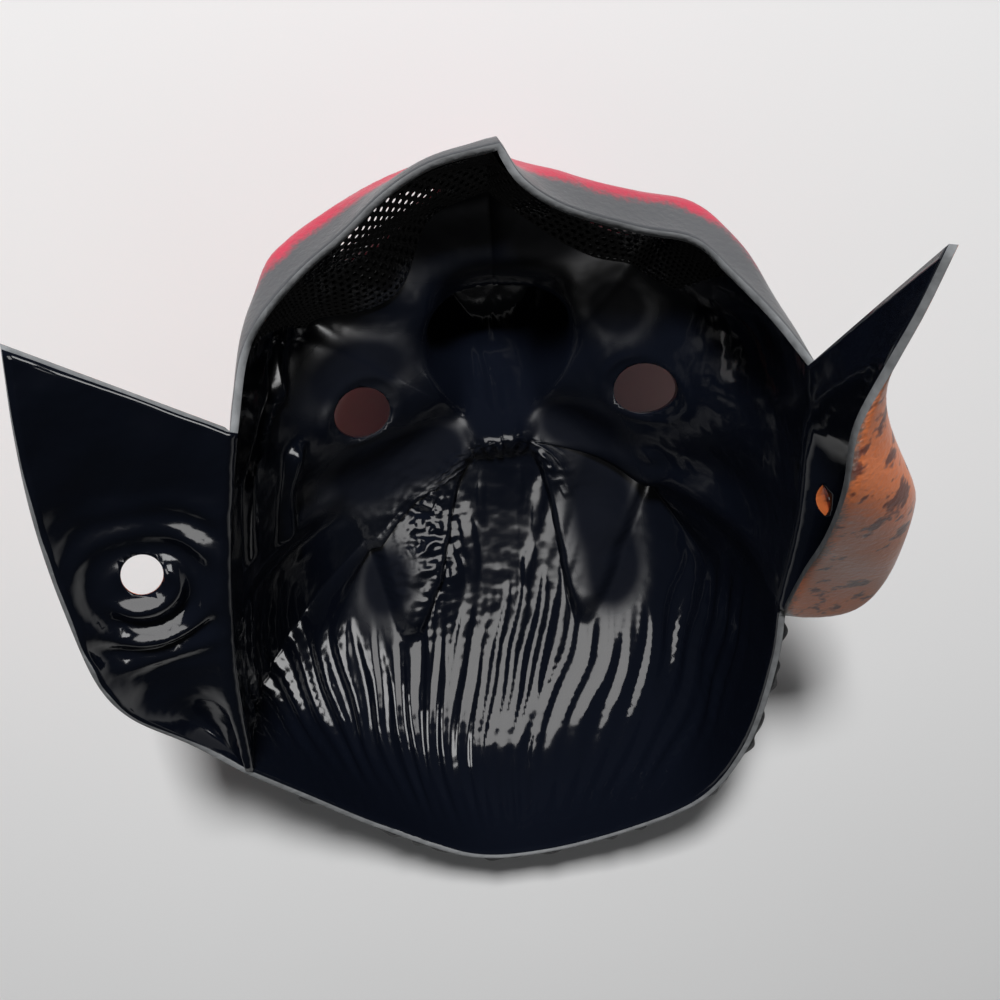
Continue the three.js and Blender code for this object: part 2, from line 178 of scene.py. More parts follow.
# Long locks on the inside
STRAND = {
    "pitch": 4.8, "height": 1.0, "wall_height": 1.8, "wall": (30, 60), "length": 78, "wander": 0.6,
    "sway_length": 30, "short_length": 11, "short_share": 0.3,
    "middle_start": -68, "temple_start": -82, "temple_span": (8, 20), "side_start": -38,
    "side_span": (32, 48), "rim_span": (0.8, 0.92), "thin_share": 2.3, "thin_height": 0.12,
}

# Short strokes in an arch round the peak of the hair, and longer ones that draw together below it
ARCH = {
    "centre": -48, "radius": 19.5, "width": 3.4, "pitch": 10, "share": 0.8, "flank": (0.55, 1),
    "height": 1.15, "least": 0.7, "more": 0.3, "sway": 0.3, "sway_length": 6,
}
DRAWN = {
    "narrow": 5.5, "wide": 9, "spacing_span": (-85, -35), "start": 8, "slant": 0.4, "length": 34,
    "height": 0.7, "inner_end": (4, 7), "outer_end": (22, 27), "lower_end": (52, 60),
}

# A low mound over the pole, and a crumpled patch beside the peak
POLE_PAD = {"x": 0, "y": -25, "radius_x": 11, "radius_y": 6, "height": 0.9}
CRUMPLE = {"x": -26, "y": -60, "radius_x": 10, "radius_y": 24, "height": 1}

# Locks and lumps on the outside, frown lines, soft folds and rims round the eye holes
LOCK = {"pitch": 6, "height": 1.2, "length": 60, "sway_length": 40, "start": (2, 12), "rim_span": (0.9, 1)}
LUMP = {"height": 1.6, "length": 5.5, "cross_length": 3.0, "rim_span": (0.85, 0.95)}
FROWN = {
    "x": 0, "y": -6, "radius_x": 13, "radius_y": 15, "height": 0.25, "pitch": 5.2, "sway": 1.6,
    "sway_length": 9, "gap_length": 5, "gap_span": (-0.2, 0.6),
}
FOLD = {"height": 0.3, "length": 20}
EYE_RIM = {"radius": 10.5, "width": 1.2, "height": 0.5}
INSIDE_FADE = (0.93, 1)

# Ridges by the left ear: where each ends along the face, and its turns round the head there
BEAD = {"height": 2.8, "width": 1.7, "end_out": 2, "end_in": 3}
BEADS = ((30, 11, -43.5, -46.5), (14, 3, -48, -60), (4, -26, -61, -61), (-4, -36, -44, -47))

# Dimples of the right temple: across from the middle line, along, radius and height
DIMPLES = ((36, -70, 5, -1.2), (44, -30, 3, 0.9), (44, -45, 3.5, -0.7))

# Folds of the left ear round its hole, flatter on the side that faces its tip
FOLDS = {
    "rim_height": 1.4, "rim_radius": 7.5, "rim_width": 2, "rim_flattest": 0.35,
    "height": 1.3, "pitch": 9, "middle": 17, "reach": 11, "flattest": 0.3, "sway": 2, "sway_length": 11,
    "lump_height": 0.3, "lump_length": 6, "side_span": (-0.9, 0.5), "start": (0, 0.12),
}

# Duller spots of the inside: across from the middle line, along, and both radii
DULL_STRENGTH = 1.5
DULL_ROUGHNESS = 0.5
DULL_SPOTS = (
    (-20, -28, 10, 9), (22, -22, 11, 9), (31, -52, 10, 22), (0, 42, 30, 12), (-38, -30, 14, 14),
    (37, -80, 8, 13), (-37, -74, 8, 14), (-40, 8, 16, 9), (32, 19, 9, 9),
)

# Painted shade on the outside of the face, in the recesses round the eyes, at the nostrils and below the
# cheekbones; paint of the brows and lips; and the soft start of the paint on the hair
EYE_PAINTED_SHADE = {"radius": 40, "fade": (0.45, 1)}
NOSTRIL_PAINTED_SHADE = {"radius": 7, "drop": 4}
CHEEK_PAINTED_SHADE = {"x": 36, "y": 22, "radius_x": 16, "radius_y": 18, "height": 0.9}
BROW_PAINT = {"half_width": 5, "lift": 2, "inner_end": (4, 10), "outer_end": (46, 60)}
LIP_PAINT = {"half_width": 8, "y": 51, "droop_share": 0.8, "end": (40, 52)}
HAIR_PAINT_START = (0, 5)

# Paint fades to bare vinyl this far from the cut edge, in clouds and specks of so many millimetres
EDGE_FADE = {"face": (9.0, 14.0), "ear": (-1.0, 2.5), "cloud": 10.0, "speckle": 4.0}

# How much of each colour laid over the paint covers the paint below it: lips, painted shade and blotches
COVER = {"lips": 0.75, "painted_shade": 0.96, "blotch": 0.85}

# Colours in linear light, two where they vary
COLOUR = {
    "inside": (0.0042, 0.0056, 0.0105),
    "red": ((0.46, 0.004, 0.035), (0.60, 0.009, 0.06)),
    "lips": (0.13, 0.003, 0.012),
    # Painted shade: near-black colour for the recesses of the face
    "painted_shade": (0.012, 0.006, 0.008),
    "brow": (0.008, 0.008, 0.01),
    "bare_face": (0.07, 0.072, 0.078),
    "hair": ((0.006, 0.006, 0.008), (0.03, 0.03, 0.034)),
    "ear": ((0.66, 0.15, 0.045), (0.9, 0.27, 0.085)),
    "blotch": (0.055, 0.01, 0.014),
    "bare_ear": (0.16, 0.13, 0.11),
    "cut_edge": ((0.10, 0.105, 0.11), (0.30, 0.31, 0.32)),
    "net": ((0.002, 0.002, 0.003), (0.006, 0.007, 0.01)),
    "table": ((0.80, 0.80, 0.80), (0.84, 0.84, 0.84)),
}

# Marks of the ears, and numbers of the shell's materials
RIGHT_EAR_MARK, LEFT_EAR_MARK = 1, 2
INSIDE, OUTSIDE, CUT_EDGE = range(3)

# Camera: it stands above the chin and looks down towards the crown, with the chin at the picture's top
CAMERA = {
    "aim": (3, -48.6, -70), "distance": 397.5, "tilt": np.radians(37.8), "turn": np.radians(-7.1),
    "roll": np.radians(-1.3), "focal": 1.3, "sensor": 36,
}

# Two lights that show in the gloss alone, and one beyond the chin that lights the colours
LIGHTS = {
    "window": {
        "place": (0.05, -0.56, 1.06), "aim": (0, 0, 0.03), "size": (0.8, 0.6),
        "power": 6.5, "colour": (1.0, 0.99, 0.98), "lights_colours": False,
    },
    "side": {
        "place": (1.0, -0.36, 0.75), "aim": (-0.05, 0.03, 0.05), "size": (0.35, 0.5),
        "power": 4, "lights_colours": False,
    },
    "room": {
        "place": (-0.13, 1.02, 1.1), "aim": (0, 0, 0), "size": (0.2, 0.2),
        "power": 26, "seen_in_gloss": False,
    },
}
WORLD = {"colour": (0.85, 0.92, 1.0, 1), "strength": 0.02}
TABLE_SIDE = 6


def lerp(start, end, share):
    return start + (end - start) * share


def rise(span, value):
    """Smoothly from 0 at the start of the span to 1 at its end."""
    share = np.clip((value - span[0]) / (span[1] - span[0]), 0, 1)
    return share * share * (3 - 2 * share)


def bump(across, along=0.0):
    """A bell round 0, of height 1."""
    return np.exp(-np.square(across) - np.square(along))


def mound(feature, side, y):
    """A smooth mound with a feature's place, radii and height."""
    across = (side - feature["x"]) / feature["radius_x"]
    return feature["height"] * bump(across, (y - feature["y"]) / feature["radius_y"])


def place_in_frame(points):
    """Face frame in millimetres to the library frame in metres."""
    cosine, sine = np.cos(REST_TILT), np.sin(REST_TILT)
    turn = np.array([[1, 0, 0], [0, cosine, -sine], [0, sine, cosine]])
    return (np.asarray(points, float) @ turn.T + REST_SHIFT) * MM


def curve_through(*points):
    """A centripetal Catmull-Rom curve, read by its share of the length."""
    knots = np.array(points, float)
    knots = np.vstack([2 * knots[0] - knots[1], knots, 2 * knots[-1] - knots[-2]])
    share = np.linspace(0, 1, CURVE_STEPS, endpoint=False)[:, None]
    runs = []
    for before, start, end, after in zip(knots, knots[1:], knots[2:], knots[3:]):
        steps = (start - before, end - start, after - end)
        gap_in, gap, gap_out = (np.linalg.norm(step) ** 0.5 for step in steps)
        leave = (start - before) / gap_in - (end - before) / (gap_in + gap) + (end - start) / gap
        arrive = (end - start) / gap - (after - start) / (gap + gap_out) + (after - end) / gap_out
        leave, arrive = leave * gap, arrive * gap
        square = 3 * (end - start) - 2 * leave - arrive
        cube = 2 * (start - end) + leave + arrive
        runs.append(start + leave * share + square * share ** 2 + cube * share ** 3)
    dense = np.vstack([*runs, knots[-2:-1]])
    reach = np.concatenate([[0], np.cumsum(np.linalg.norm(np.diff(dense, axis=0), axis=1))])

    def at(place):
        distance = np.asarray(place, float) * reach[-1]
        return np.stack([np.interp(distance, reach, dense[:, axis]) for axis in range(3)], -1)

    return at


# Stretches of the rim, in the order of the columns: curve, columns, spread of the meridians and its blend
STRETCHES = {
    "right_jaw": (curve_through(CHIN, *RIGHT_JAW, RIGHT_NOTCH), COLUMNS["jaw"], PLAIN_SPREAD, 1),
    "right_ear": (curve_through(RIGHT_NOTCH, *RIGHT_ROOT, RIGHT_JOIN), COLUMNS["right_ear"], PLAIN_SPREAD, 1),
    "crown": (curve_through(RIGHT_JOIN, *CROWN, LEFT_JOIN), COLUMNS["crown"], CROWN_SPREAD, CROWN_BLEND),
    "left_ear": (curve_through(LEFT_JOIN, *LEFT_ROOT, LEFT_NOTCH), COLUMNS["left_ear"], PLAIN_SPREAD, 1),
    "left_jaw": (curve_through(LEFT_NOTCH, *LEFT_JAW, CHIN), COLUMNS["jaw"], LEFT_JAW_SPREAD, LEFT_JAW_BLEND),
}


def middle_line(y):
    towards_chin = lerp(MIDDLE_LINE["face"], MIDDLE_LINE["chin"], rise(MIDDLE_LINE["chin_span"], y))
    return lerp(towards_chin, MIDDLE_LINE["crown"], rise(MIDDLE_LINE["crown_span"], -y))


def outward(points):
    """Directions out of the egg that stands for the head."""
    direction = (points - EGG_MIDDLE) / EGG_AXES / EGG_AXES
    return direction / np.linalg.norm(direction, axis=-1, keepdims=True)


# Height of each feature above the face, x mm from the middle line

def nose(x, y):
    bridge = rise((NOSE["root"], NOSE["tip"]), y)
    underside = 1 - rise((NOSE["under"], NOSE["fold"]), y)
    ledge = 1 - rise((NOSE["fold"], NOSE["base"]), y)
    profile = (NOSE["height"] - NOSE["ledge"]) * bridge * underside + NOSE["ledge"] * bridge * ledge
    half_width = lerp(NOSE["half_root"], NOSE["half_tip"], bridge)
    across = np.maximum(0, 1 - np.abs(x / half_width) ** NOSE["edge_power"]) ** 2
    return profile * across + mound(NOSTRIL, np.abs(x), y)


def eyes(x, y):
    across = np.abs(x) - EYE["x"]
    along = y - EYE["y"]
    socket = bump(across / EYE["socket_x"], along / EYE["socket_y"])
    ball = bump(across / EYE["ball"], along / EYE["ball"])
    return EYE["ball_height"] * ball - EYE["depth"] * socket


def brow_line(side):
    """Where the brow runs, this far to either side of the middle line."""
    outer_rise = BROW["outer_rise"] * rise(BROW["rise_span"], side)
    return BROW["inner"] - BROW["drop"] * rise(BROW["drop_span"], side) + outer_rise


def brows(x, y):
    side = np.abs(x)
    ends = rise(BROW["inner_end"], side) * (1 - rise(BROW["outer_end"], side))
    return BROW["height"] * ends * bump((y - brow_line(side)) / BROW["half_width"])


def lip_droop(side):
    return LIP["droop"] * rise(LIP["droop_span"], side)


def mouth(x, y):
    side = np.abs(x)
    droop = lip_droop(side)
    upper = bump((y - LIP["upper"] + droop / 2) / LIP["half_width"])
    lower = bump((y - LIP["lower"] + droop) / LIP["half_width"])
    lips = LIP["height"] * (1 - rise(LIP["end"], side)) * (upper * LIP["upper_share"] + lower)
    return lips + mound(MUZZLE, x, y)


def keel(x, y):
    return KEEL["height"] * bump(x / KEEL["half_width"]) * rise(KEEL["span"], y)


def hair_depth(x, y):
    """How far a point lies past the hairline."""
    side = np.abs(x)
    temple = lerp(HAIRLINE["peak"], HAIRLINE["temple"], rise(HAIRLINE["temple_span"], side))
    line = lerp(temple, HAIRLINE["side"], rise(HAIRLINE["side_span"], side))
    return line - y


def hair(x, y):
    return HAIR["height"] * rise((0, HAIR["step"]), hair_depth(x, y))


def relief(place, y, part):
    x = place - middle_line(y)
    side = np.abs(x)
    face = nose(x, y) + eyes(x, y) + brows(x, y) + mound(CHEEK, side, y) + keel(x, y)
    upper = face + mound(FOREHEAD, side, y) + hair(x, y)
    return upper * (1 - rise(RELIEF_FADE, part)) + mouth(x, y) * (1 - rise(LIP_FADE, part))


def face_points(rim, spread, part):
    """Points of the face on the meridians that end at the points of the rim, part of the way out."""
    angle = part * np.pi / 2
    depth = 1 - np.cos(angle) ** MERIDIAN_DEPTH
    base = np.stack([
        lerp(POLE[0], rim[..., 0], np.sin(angle) ** spread[..., 0]),
        lerp(POLE[1], rim[..., 1], np.sin(angle) ** spread[..., 1]),
        lerp(POLE[2], rim[..., 2], depth),
    ], -1)
    height = relief(base[..., 0], base[..., 1], part)
    return base + outward(base) * height[..., None]


def columns_at(stretch, place):
    """Rim points and spreads of columns at some places of one stretch."""
    curve, _, spread, blend = STRETCHES[stretch]
    share = rise((0, blend), place) * rise((0, blend), 1 - place)
    blended = lerp(np.array(PLAIN_SPREAD), np.array(spread), share[..., None])
    return curve(place), blended


def skin_points(stretch, place, part):
    rim, spread = columns_at(stretch, place)
    return face_points(rim, spread, part)


def ear_section(ear, root, edge, along, out):
    """Points of the ear's plain shell, on curves from its root to its edge."""
    fullness = rise(ear["belly_span"], along) * (1 - along ** BELLY_END_POWER)
    middle = (root + edge) / 2 + np.array(ear["belly"], float) * np.asarray(fullness)[..., None]
    out = np.asarray(out)[..., None]
    return root * (1 - out) ** 2 + middle * 2 * out * (1 - out) + edge * out ** 2


def ear_points(ear, root, edge, along, out):
    """Points of the ear's shell, with the mound round its hole."""
    belly = np.array(ear["belly"], float)
    start = np.minimum(1, out / CONCHA["start"])
    across = (along - ear["hole_along"]) / CONCHA["radius_along"]
    height = CONCHA["height"] * bump(across, (out - ear["hole_out"]) / CONCHA["radius_out"]) * start
    away = belly / np.linalg.norm(belly) * height[..., None]
    return ear_section(ear, root, edge, along, out) - away


class Skin:
    """The middle surface of the wall as a net of points, with marks that say where each point lies."""

    NAMES = ("part", "ear", "out")

    def __init__(self):
        self.points = []
        self.quads = []
        self.marks = {name: [] for name in self.NAMES}

    def add(self, points, **marks):
        first = sum(len(block) for block in self.points)
        flat = points.reshape(-1, 3)
        self.points.append(flat)
        for name, values in self.marks.items():
            mark = np.broadcast_to(marks.get(name, 0.0), points.shape[:-1])
            values.append(mark.reshape(-1))
        return first + np.arange(len(flat)).reshape(points.shape[:-1])

    def close(self):
        self.points = np.vstack(self.points)
        self.quads = np.vstack(self.quads)
        self.marks = {name: np.concatenate(values) for name, values in self.marks.items()}


def strip_quads(first, second):
    return np.stack([first[..., :-1], first[..., 1:], second[..., 1:], second[..., :-1]], -1).reshape(-1, 4)


def build_face(skin):
    """Adds the face, and gives its point numbers in rows from the pole to the rim."""
    part = (np.arange(1, RINGS + 1) / RINGS) ** RING_CROWDING
    columns = []
    for name, (_, count, _, _) in STRETCHES.items():
        place = np.arange(count) / count
        columns.append(skin_points(name, place[:, None], part[None]))
    pole = POLE + outward(POLE) * relief(POLE[0], POLE[1], 0)
    pole_number = skin.add(pole[None])
    numbers = skin.add(np.vstack(columns), part=part[None])
    numbers = np.hstack([np.full((len(numbers), 1), pole_number[0]), numbers])
    skin.quads.append(strip_quads(numbers, np.roll(numbers, -1, axis=0)))
    return numbers


def grow_ear(skin, columns, points, ear, notch_column, join_column, number):
    """Adds the ear that grows from the rim between a notch and a join."""
    step = 1 if join_column > notch_column else -1
    between = np.arange(notch_column, join_column, step)
    along = (between - notch_column) / (join_column - notch_column)
    edge = curve_through(ear["tip"], *ear["edge"])(along)
    out = np.arange(1, EAR_RINGS + 1) / EAR_RINGS
    roots = columns[between, RINGS]
    grid = ear_points(ear, points[roots][:, None], edge[:, None], along[:, None], out[None])
    grown = skin.add(grid, part=1, ear=number, out=out[None])
    runs = np.hstack([roots[:, None], grown])
    last = np.full((1, EAR_RINGS + 1), columns[join_column, RINGS])
    runs = np.vstack([runs, last])
    pair = (runs[:-1], runs[1:]) if step > 0 else (runs[1:], runs[:-1])
    skin.quads.append(strip_quads(*pair))


def build_skin():
    skin = Skin()
    columns = build_face(skin)
    points = np.vstack(skin.points)
    right_notch = COLUMNS["jaw"]
    right_join = right_notch + COLUMNS["right_ear"]
    left_join = right_join + COLUMNS["crown"]
    left_notch = left_join + COLUMNS["left_ear"]
    grow_ear(skin, columns, points, RIGHT_EAR, right_notch, right_join, RIGHT_EAR_MARK)
    grow_ear(skin, columns, points, LEFT_EAR, left_notch, left_join, LEFT_EAR_MARK)
    skin.close()
    return skin


def vertex_normals(points, faces):
    normals = np.zeros_like(points)
    corner = points[faces]
    face = np.cross(corner[:, 2] - corner[:, 0], corner[:, 3] - corner[:, 1])
    for index in range(4):
        np.add.at(normals, faces[:, index], face)
    return normals / np.linalg.norm(normals, axis=1, keepdims=True)


def border_edges(faces):
    """Edges that only one face uses, in that face's direction."""
    edges = np.concatenate([faces[:, [index, (index + 1) % 4]] for index in range(4)])
    edges = edges[edges[:, 0] != edges[:, 1]]
    seen = set(map(tuple, edges.tolist()))
    return [edge for edge in seen if edge[::-1] not in seen]


def without_repeats(faces):
    """Quads as lists of corners, as triangles where two corners are one point."""
    def corners(face):
        return [corner for index, corner in enumerate(face) if corner != face[index - 1]]

    return [corners(face) for face in faces.tolist()]


# Fine relief

def wave(first, second, scale, seed, shape):
    bend = shape["bend"] * np.sin(second / scale * shape["bend_rate"] + seed * shape["bend_shift"])
    return np.sin(first / scale * shape["rate"] + seed * shape["shift"] + bend)


def wobble(x, y, scale, seed):
    """A smooth field between about -1 and 1, with waves of about the given length."""
    return 0.5 * (wave(x, y, scale, seed, WAVE_ACROSS) + wave(y, x, scale, seed, WAVE_ALONG))


def chance(number, seed):
    """A fixed number between 0 and 1 for each whole number."""
    swing = np.sin(number * SCATTER["number"] + seed * SCATTER["seed"])
    return np.modf(np.abs(swing * SCATTER["spread"]))[0]


def strands(across, along, length, seed):
    """Long locks, one to each unit across, each a row of lenses with its own start and length."""
    number = np.round(across)
    place = across - number
    own_length = length * (SWELL["length"] + SWELL["more_length"] * chance(number, seed))
    beat = along / own_length - SWELL["shift"] * chance(number, seed + 1)
    swell = np.sin(np.pi * (beat % 1)) ** SWELL["bluntness"] * (beat > 0)
    own_width = SWELL["width"] + SWELL["more_width"] * chance(number + np.floor(beat), seed + 2)
    width = SWELL["thinnest"] + own_width * swell
    height = SWELL["height"] + SWELL["more_height"] * chance(number, seed + 3)
    return np.maximum(0, 1 - np.square(2 * place / width)) * swell * height


def turn_round_head(side, z):
    """Degrees round the long axis of the head, 0 at the middle line and less on the left."""
    return np.degrees(np.arctan2(side, EGG_MIDDLE[2] - z))


def hair_locks(side, y, turn, marks):
    """Long locks on the inside. In the middle they start well below the hairline."""
    sway = wobble(side, y, STRAND["sway_length"], SEED["sway"])
    sway = sway + STRAND["short_share"] * wobble(side, y, STRAND["short_length"], SEED["short_sway"])
    across = turn / STRAND["pitch"] + STRAND["wander"] * sway
    lock_turn = np.abs(np.round(across)) * STRAND["pitch"]
    start = lerp(STRAND["middle_start"], STRAND["temple_start"], rise(STRAND["temple_span"], lock_turn))
    start = lerp(start, STRAND["side_start"], rise(STRAND["side_span"], lock_turn))
    height = lerp(STRAND["height"], STRAND["wall_height"], rise(STRAND["wall"], np.abs(side)))
    fade = 1 - rise(STRAND["rim_span"], marks["part"])
    locks = strands(across, start - y, STRAND["length"], SEED["locks"])
    thin = strands(across * STRAND["thin_share"], start - y, STRAND["length"] / 2, SEED["thin_locks"])
    return height * fade * (locks + STRAND["thin_height"] * thin)


def arch_strokes(side, y):
    """Short strokes in an arch round the peak of the hair."""
    reach = np.hypot(side, y - ARCH["centre"])
    sway = ARCH["sway"] * wobble(side, y, ARCH["sway_length"], SEED["arch"])
    turn = np.degrees(np.arctan2(side, y - ARCH["centre"])) / ARCH["pitch"] + sway
    number = np.round(turn)
    strokes = ARCH["height"] * (1 - rise(ARCH["flank"], np.abs(2 * (turn - number) / ARCH["share"])))
    strokes = strokes * (ARCH["least"] + ARCH["more"] * chance(number, SEED["arch_heights"]))
    return strokes * (y > ARCH["centre"]) * bump((reach - ARCH["radius"]) / ARCH["width"])


def drawn_strokes(side, y):
    """Longer strokes that draw together below the peak of the hair."""
    spacing = lerp(DRAWN["narrow"], DRAWN["wide"], rise(DRAWN["spacing_span"], y))
    ends = rise(DRAWN["inner_end"], np.abs(side)) * (1 - rise(DRAWN["outer_end"], np.abs(side)))
    ends = ends * (1 - rise(DRAWN["lower_end"], HAIRLINE["peak"] - y))
    below = HAIRLINE["peak"] - DRAWN["start"] - DRAWN["slant"] * np.abs(side) - y
    return DRAWN["height"] * strands(side / spacing + 0.5, below, DRAWN["length"], SEED["drawn"]) * ends


def dimples(side, y):
    """Small dimples and knobs round the right eye."""
    total = 0.0
    for middle, along, radius, height in DIMPLES:
        total = total + height * bump((side - middle) / radius, (y - along) / radius)
    return total


def beads(y, turn):
    """Rounded ridges along the wall by the left ear."""
    height = 0.0
    for top, bottom, turn_top, turn_bottom in BEADS:
        line = lerp(turn_top, turn_bottom, np.clip((top - y) / (top - bottom), 0, 1))
        lower = rise((bottom - BEAD["end_out"], bottom + BEAD["end_in"]), y)
        ends = lower * (1 - rise((top - BEAD["end_in"], top + BEAD["end_out"]), y))
        height = height + BEAD["height"] * ends * bump((turn - line) / BEAD["width"])
    return height


def frown_lines(x, y):
    """Upright lines between the brows, with gaps."""
    side = x - middle_line(y)
    across = side + FROWN["sway"] * wobble(x, y, FROWN["sway_length"], SEED["frown"])
    gaps = rise(FROWN["gap_span"], wobble(x, y, FROWN["gap_length"], SEED["frown_gaps"]))
    return mound(FROWN, side, y) * np.cos(2 * np.pi * across / FROWN["pitch"]) * gaps


def inside_relief(points, marks):
    """Height of the fine relief on the inside, towards the wearer."""
    x, y, z = points.T
    side = x - middle_line(y)
    turn = turn_round_head(side, z)
    folds = FOLD["height"] * wobble(x, y, FOLD["length"], SEED["folds"])
    eye_distance = np.hypot(np.abs(side) - EYE["x"], y - EYE["y"])
    eye_rims = EYE_RIM["height"] * bump((eye_distance - EYE_RIM["radius"]) / EYE_RIM["width"])
    peak = arch_strokes(side, y) + drawn_strokes(side, y)
    fine = frown_lines(x, y) + folds + eye_rims + mound(POLE_PAD, side, y) + peak
    fine = fine + dimples(side, y) + beads(y, turn)
    on_face = (marks["ear"] == 0) * (1 - rise(INSIDE_FADE, marks["part"]))
    return on_face * (fine + hair_locks(side, y, turn, marks))


def outside_relief(points, marks):
    """Height of the fine relief on the outside, away from the wearer."""
    x, y, z = points.T
    side = x - middle_line(y)
    on_face = marks["ear"] == 0
    past = hair_depth(side, y)
    sway = STRAND["wander"] * wobble(side, y, LOCK["sway_length"], SEED["sway"])
    across = turn_round_head(side, z) / LOCK["pitch"] + sway
    locks = LOCK["height"] * strands(across, past, LOCK["length"], SEED["outer_locks"])
    locks = locks * (1 - rise(LOCK["rim_span"], marks["part"]))
    lumps = wobble(x, y, LUMP["length"], SEED["lumps"])
    lumps = lumps + wobble(x, z - y, LUMP["cross_length"], SEED["cross_lumps"])
    lumps = LUMP["height"] * np.maximum(0, lumps) * rise(LUMP["rim_span"], marks["part"])
    in_hair = on_face * rise(LOCK["start"], past)
    frown = mound(FROWN, side, y) * np.cos(2 * np.pi * side / FROWN["pitch"])
    return in_hair * (locks + lumps) + on_face * frown


def ear_folds(points, marks, hole):
    """Folds of the ear's shell round its hole, towards the wearer."""
    x, y = points[:, 0], points[:, 1]
    away = points - hole
    distance = np.linalg.norm(away, axis=1)
    fullness = rise(FOLDS["side_span"], (away[:, 0] - away[:, 1]) / np.maximum(distance, 1))
    rim = bump((distance - FOLDS["rim_radius"]) / FOLDS["rim_width"])
    rim = FOLDS["rim_height"] * rim * lerp(FOLDS["rim_flattest"], 1, fullness)
    sway = FOLDS["sway"] * wobble(x, y, FOLDS["sway_length"], SEED["ear_waves"])
    waves = FOLDS["height"] * np.cos(2 * np.pi * (distance + sway) / FOLDS["pitch"])
    waves = waves * bump((distance - FOLDS["middle"]) / FOLDS["reach"]) * lerp(FOLDS["flattest"], 1, fullness)
    lumps = FOLDS["lump_height"] * wobble(x, y, FOLDS["lump_length"], SEED["ear_lumps"])
    return (marks["ear"] == LEFT_EAR_MARK) * rise(FOLDS["start"], marks["out"]) * (rim + waves + lumps)


def press_flat(points, level):
    """What the mask rests on is pressed level with the table."""
    up = np.array([0, np.sin(REST_TILT), np.cos(REST_TILT)])
    return points + up * np.maximum(0, level - points @ up)[:, None]


# Meshes

def add_object(name, data):
    added = bpy.data.objects.new(name, data)
    bpy.context.scene.collection.objects.link(added)
    return added


def new_object(name, points, faces, materials, material_numbers):
    mesh = bpy.data.meshes.new(name)
    mesh.from_pydata(place_in_frame(points).tolist(), [], faces)
    for material in materials:
        mesh.materials.append(material)
    mesh.polygons.foreach_set("material_index", material_numbers)
    mesh.polygons.foreach_set("use_smooth", [True] * len(faces))
    mesh.update()
    return add_object(name, mesh)


def punch(outline, middle, direction, material_number, turn=0.0):
    """A prism over an outline, along one direction through one point."""
    count = len(outline)
    cosine, sine = np.cos(turn), np.sin(turn)
    turned = outline @ np.array([[cosine, sine], [-sine, cosine]])
    flat = np.column_stack([turned, np.zeros(count)])
    reach = np.array([0, 0, PUNCH_LENGTH / 2])
    towards = Vector((0, 0, 1)).rotation_difference(Vector(direction).normalized()).to_matrix()
    points = np.vstack([flat - reach, flat + reach]) @ np.array(towards).T + np.array(middle, float)
    sides = [[i, (i + 1) % count, count + (i + 1) % count, count + i] for i in range(count)]
    caps = [list(range(count))[::-1], list(range(count, 2 * count))]
    return new_object("punch", points, sides + caps, VINYLS, [material_number] * (count + 2))


def circle(diameter):
    angle = np.arange(ROUND_SIDES) / ROUND_SIDES * 2 * np.pi
    return np.column_stack([np.cos(angle), np.sin(angle)]) * diameter / 2


def lens(length, height):
    """Two parabolas over one chord, from corner to corner and back."""
    along = np.linspace(-1, 1, ROUND_SIDES // 2)
    upper = np.column_stack([along * length / 2, (1 - along ** 2) * height / 2])
    return np.vstack([upper[::-1], (upper * [1, -1])[1:-1]])


def ear_hole_middle(ear, stretch, place):
    """Middle of the ear's hole, which has its root at this place of a stretch of the rim."""
    root = STRETCHES[stretch][0](place)
    along = ear["hole_along"]
    edge = curve_through(ear["tip"], *ear["edge"])(along)
    return ear_section(ear, root, edge, along, ear["hole_out"])


def left_hole_middle():
    return ear_hole_middle(LEFT_EAR, "left_ear", 1 - LEFT_EAR["hole_along"])


def make_punches():
    punches = []
    for side in (-1, 1):
        eye = (middle_line(EYE["y"]) + side * EYE["x"], EYE["y"], EYE["z"])
        punches.append(punch(circle(EYE["hole_diameter"]), eye, EYE_AXIS, INSIDE))
        slot = np.array([middle_line(SLOT["y"]) + side * SLOT["x"], SLOT["y"], SLOT["z"]])
        outline = lens(SLOT["length"], SLOT["height"])
        punches.append(punch(outline, slot, -outward(slot), OUTSIDE, -side * SLOT["slant"]))
    slit = lens(RIGHT_EAR_SLIT["length"], RIGHT_EAR_SLIT["height"])
    slit_middle = ear_hole_middle(RIGHT_EAR, "right_ear", RIGHT_EAR["hole_along"])
    punches.append(punch(slit, slit_middle, RIGHT_EAR["hole_axis"], OUTSIDE, RIGHT_EAR_SLIT["turn"]))
    hole = circle(LEFT_EAR_HOLE_DIAMETER)
    punches.append(punch(hole, left_hole_middle(), LEFT_EAR["hole_axis"], OUTSIDE))
    return punches


def cut(piece, tools):
    """Cuts the tools out of the piece and removes them."""
    for tool in tools:
        modifier = piece.modifiers.new("cut", "BOOLEAN")
        modifier.operation = "DIFFERENCE"
        modifier.solver = "MANIFOLD"
        modifier.object = tool
    evaluated = piece.evaluated_get(bpy.context.evaluated_depsgraph_get())
    mesh = bpy.data.meshes.new_from_object(evaluated)
    piece.modifiers.clear()
    piece.data = mesh
    for tool in tools:
        bpy.data.objects.remove(tool)


def tree_of(points):
    tree = KDTree(len(points))
    for number, point in enumerate(points):
        tree.insert(point, number)
    tree.balance()
    return tree


def distance_to_edge(skin, on_border):
    """How far each point of the skin lies from the cut edge."""
    border = tree_of(skin.points[on_border])
    return np.array([border.find(point)[2] for point in skin.points])


